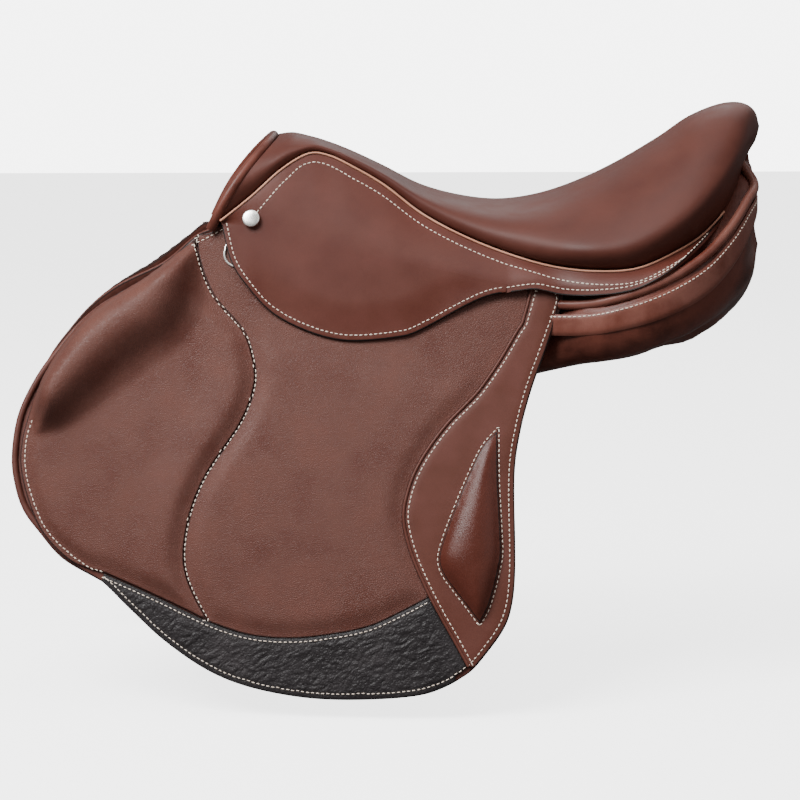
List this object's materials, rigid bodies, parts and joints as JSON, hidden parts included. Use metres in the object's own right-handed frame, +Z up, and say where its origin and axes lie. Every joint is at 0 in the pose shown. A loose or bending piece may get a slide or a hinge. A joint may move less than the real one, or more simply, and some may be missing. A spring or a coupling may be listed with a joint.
{
  "type": "english saddle",
  "caption": "English jumping saddle with a deep seat, forward flaps with outside knee and thigh blocks, skirts that lift over the stirrup bars, flocked panels and girth straps under the flaps.",
  "frame": {"origin": "on the saddle's centreline under the deepest point of the seat, at the level of the panels' underside at the waist, where the saddle rests on the horse's back", "axes": "+Z up, +X towards the cantle (the rear), -Y the horse's left (near) side"},
  "size_m": [0.6461, 0.3934, 0.4851],
  "materials": {
    "seat_leather": "smooth calf, soft sheen",
    "skirt_leather": "smooth calf, waxed",
    "flap_leather": "smooth calf",
    "grained_leather": "grained calf over thin foam",
    "band_leather": "smooth calf",
    "block_leather": "calf over a moulded block",
    "black_buffalo_leather": "black coarse-grained buffalo hide",
    "panel_leather": "dark brown calf over flocked wool",
    "piping_leather": "pale welt",
    "billet_leather": "bridle leather strap",
    "foam": "latex foam",
    "webbing": "woven nylon",
    "beech_laminate": "laminated beech",
    "point_leather": "stiff sole leather",
    "steel": "satin stainless steel",
    "nickel": "polished nickel plate"
  },
  "bodies": {
    "saddle": {"tree": "beech_laminate", "head_plate": "steel", "seat_webbing": "webbing", "seat_foam": "foam", "seat_cover": "seat_leather", "pommel_roll": "panel_leather", "pommel_facing": "panel_leather", "tree_spring_left": "steel", "tree_point_left": "point_leather", "stirrup_bar_left": "steel", "bar_rivet_left": "steel", "seat_welt_left": "piping_leather", "skirt_top_left": "skirt_leather", "saddle_nail_left": "nickel", "panel_left": "panel_leather", "panel_gusset_left": "panel_leather", "panel_welt_left": "panel_leather", "sweat_flap_left": "flap_leather", "billet_web_left": "webbing", "tree_spring_right": "steel", "tree_point_right": "point_leather", "stirrup_bar_right": "steel", "bar_rivet_right": "steel", "seat_welt_right": "piping_leather", "skirt_top_right": "skirt_leather", "saddle_nail_right": "nickel", "panel_right": "panel_leather", "panel_gusset_right": "panel_leather", "panel_welt_right": "panel_leather", "sweat_flap_right": "flap_leather", "billet_web_right": "webbing"},
    "flap_left": {"flap_left": "flap_leather", "knee_pad_left": "grained_leather", "flap_panel_left": "grained_leather", "knee_block_left": "block_leather", "thigh_block_left": "block_leather", "rear_band_left": "band_leather", "grip_strip_left": "black_buffalo_leather", "dee_chape_left": "flap_leather"},
    "skirt_left": {"skirt_left": "skirt_leather"},
    "dee_left": {"dee_left": "nickel"},
    "stirrup_catch_left": {"stirrup_catch_left": "steel"},
    "billet_front_left": {"billet_front_left": "billet_leather"},
    "billet_middle_left": {"billet_middle_left": "billet_leather"},
    "billet_rear_left": {"billet_rear_left": "billet_leather"},
    "flap_right": {"flap_right": "flap_leather", "knee_pad_right": "grained_leather", "flap_panel_right": "grained_leather", "knee_block_right": "block_leather", "thigh_block_right": "block_leather", "rear_band_right": "band_leather", "grip_strip_right": "black_buffalo_leather", "dee_chape_right": "flap_leather"},
    "skirt_right": {"skirt_right": "skirt_leather"},
    "dee_right": {"dee_right": "nickel"},
    "stirrup_catch_right": {"stirrup_catch_right": "steel"},
    "billet_front_right": {"billet_front_right": "billet_leather"},
    "billet_middle_right": {"billet_middle_right": "billet_leather"},
    "billet_rear_right": {"billet_rear_right": "billet_leather"}
  },
  "joints": [
    {"name": "flap_left_lift", "type": "hinge", "parent": "saddle", "child": "flap_left", "pos_m": [-0.221, -0.078, 0.135], "axis": [-0.965, 0.1678, 0.2014], "range_deg": [0, 75]},
    {"name": "skirt_left_lift", "type": "hinge", "parent": "flap_left", "child": "skirt_left", "pos_m": [-0.221, -0.078, 0.135], "axis": [-0.965, 0.1678, 0.2014], "range_deg": [0, 48]},
    {"name": "billet_front_left_swing", "type": "hinge", "parent": "saddle", "child": "billet_front_left", "pos_m": [-0.10505, -0.09014, 0.08002], "axis": [-0.109, -0.9555, 0.274], "range_deg": [-4, 4]},
    {"name": "billet_middle_left_swing", "type": "hinge", "parent": "saddle", "child": "billet_middle_left", "pos_m": [-0.07091, -0.09277, 0.07204], "axis": [-0.109, -0.9555, 0.274], "range_deg": [-4, 4]},
    {"name": "billet_rear_left_swing", "type": "hinge", "parent": "saddle", "child": "billet_rear_left", "pos_m": [-0.0375, -0.10189, 0.06592], "axis": [-0.109, -0.9555, 0.274], "range_deg": [-4, 4]},
    {"name": "stirrup_catch_left_flip", "type": "hinge", "parent": "saddle", "child": "stirrup_catch_left", "pos_m": [-0.05, -0.075, 0.12], "axis": [0, -1, 0], "range_deg": [0, 50]},
    {"name": "dee_left_swing", "type": "hinge", "parent": "flap_left", "child": "dee_left", "pos_m": [-0.21845, -0.07659, 0.12123], "axis": [-0.109, -0.9555, 0.274], "range_deg": [-10, 10]},
    {"name": "flap_right_lift", "type": "hinge", "parent": "saddle", "child": "flap_right", "pos_m": [-0.221, 0.078, 0.135], "axis": [0.965, 0.1678, -0.2014], "range_deg": [0, 75]},
    {"name": "skirt_right_lift", "type": "hinge", "parent": "flap_right", "child": "skirt_right", "pos_m": [-0.221, 0.078, 0.135], "axis": [0.965, 0.1678, -0.2014], "range_deg": [0, 48]},
    {"name": "billet_front_right_swing", "type": "hinge", "parent": "saddle", "child": "billet_front_right", "pos_m": [-0.10505, 0.09014, 0.08002], "axis": [-0.109, 0.9555, 0.274], "range_deg": [-4, 4]},
    {"name": "billet_middle_right_swing", "type": "hinge", "parent": "saddle", "child": "billet_middle_right", "pos_m": [-0.07091, 0.09277, 0.07204], "axis": [-0.109, 0.9555, 0.274], "range_deg": [-4, 4]},
    {"name": "billet_rear_right_swing", "type": "hinge", "parent": "saddle", "child": "billet_rear_right", "pos_m": [-0.0375, 0.10189, 0.06592], "axis": [-0.109, 0.9555, 0.274], "range_deg": [-4, 4]},
    {"name": "stirrup_catch_right_flip", "type": "hinge", "parent": "saddle", "child": "stirrup_catch_right", "pos_m": [-0.05, 0.075, 0.12], "axis": [0, -1, 0], "range_deg": [0, 50]},
    {"name": "dee_right_swing", "type": "hinge", "parent": "flap_right", "child": "dee_right", "pos_m": [-0.21845, 0.07659, 0.12123], "axis": [-0.109, 0.9555, 0.274], "range_deg": [-10, 10]}
  ]
}
